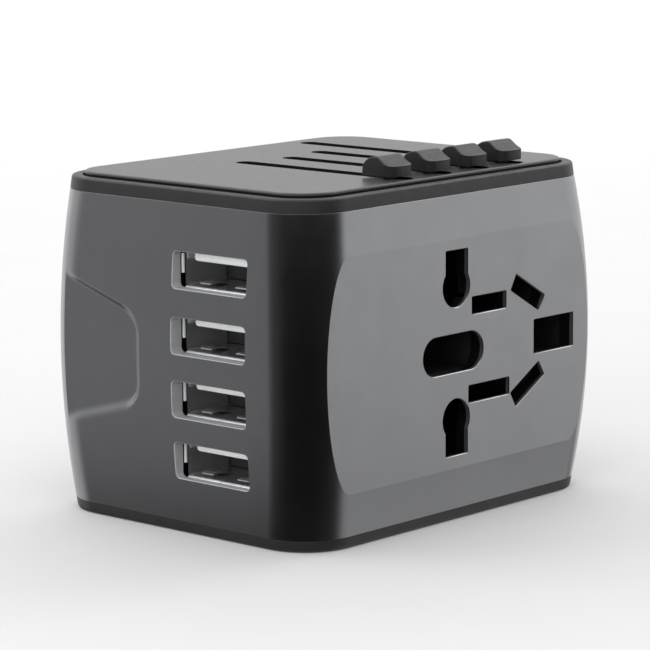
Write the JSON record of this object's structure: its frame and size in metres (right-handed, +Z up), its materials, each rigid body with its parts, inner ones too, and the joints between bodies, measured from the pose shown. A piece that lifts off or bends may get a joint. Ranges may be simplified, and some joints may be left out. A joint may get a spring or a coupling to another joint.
{
  "type": "universal travel adapter",
  "caption": "Barrel-sided travel plug adapter with a multi-standard socket face, stacked USB ports, top slider knobs and plug pins that slide out of the rear.",
  "frame": {"origin": "bottom centre of the body, on the surface that it rests on", "axes": "+X along the width, from the USB side to the far side; +Y from the socket face to the pin face, the way the pins slide out; +Z up, towards the slider knobs"},
  "size_m": [0.0666, 0.052, 0.0525],
  "materials": {
    "graphite_shell": "satin metallic graphite coat on moulded plastic",
    "black_trim": "fine matt texture",
    "dark_plate": "fine spark-eroded grain, satin",
    "knob_black": "satin, lightly polished by fingers",
    "nylon": "plain moulded nylon",
    "screw_steel": "zinc plated",
    "shell_steel": "bright nickel plated sheet",
    "pin_nickel": "nickel plated brass, polished",
    "contact_brass": "bare spring brass",
    "white_plastic": "smooth moulded",
    "board_green": "solder mask, satin",
    "ferrite": "dull",
    "can_metal": "sleeved aluminium can",
    "fuse_ceramic": "glazed"
  },
  "bodies": {
    "housing": {"body_sleeve": "graphite_shell", "top_bezel": "black_trim", "bottom_cap": "black_trim", "rear_cover": "black_trim", "top_plate": "dark_plate", "cover_screw_1": "screw_steel", "cover_screw_2": "screw_steel", "cover_screw_3": "screw_steel", "cover_screw_4": "screw_steel", "socket_carrier": "nylon", "line_contact": "contact_brass", "neutral_contact": "contact_brass", "earth_contact": "contact_brass", "line_busbar": "contact_brass", "neutral_busbar": "contact_brass", "earth_busbar": "contact_brass", "fuse_clip_lower": "contact_brass", "fuse_clip_upper": "contact_brass", "usb_shell_1": "shell_steel", "usb_shell_2": "shell_steel", "usb_shell_3": "shell_steel", "usb_shell_4": "shell_steel", "usb_tongue_1": "white_plastic", "usb_tongue_2": "white_plastic", "usb_tongue_3": "white_plastic", "usb_tongue_4": "white_plastic", "circuit_board": "board_green", "transformer": "ferrite", "inductor": "ferrite", "capacitor_large": "can_metal", "capacitor_small": "can_metal", "fuse": "fuse_ceramic"},
    "au_slider": {"au_slider_knob": "knob_black", "au_carriage": "nylon", "au_blade_upper": "pin_nickel", "au_blade_lower": "pin_nickel"},
    "eu_slider": {"eu_slider_knob": "knob_black", "eu_carriage": "nylon", "eu_pin_upper": "pin_nickel", "eu_pin_lower": "pin_nickel"},
    "us_slider": {"us_slider_knob": "knob_black", "us_carriage": "nylon", "us_blade_upper": "pin_nickel", "us_blade_lower": "pin_nickel"},
    "uk_slider": {"uk_slider_knob": "knob_black", "uk_carriage": "nylon", "uk_blade_upper": "pin_nickel", "uk_blade_lower": "pin_nickel", "uk_earth_blade": "pin_nickel"}
  },
  "joints": [
    {"name": "au_slide", "type": "slide", "parent": "housing", "child": "au_slider", "axis": [0, 1, 0], "range_m": [0, 0.0239]},
    {"name": "eu_slide", "type": "slide", "parent": "housing", "child": "eu_slider", "axis": [0, 1, 0], "range_m": [0, 0.0239]},
    {"name": "us_slide", "type": "slide", "parent": "housing", "child": "us_slider", "axis": [0, 1, 0], "range_m": [0, 0.0239]},
    {"name": "uk_slide", "type": "slide", "parent": "housing", "child": "uk_slider", "axis": [0, 1, 0], "range_m": [0, 0.0239]}
  ]
}
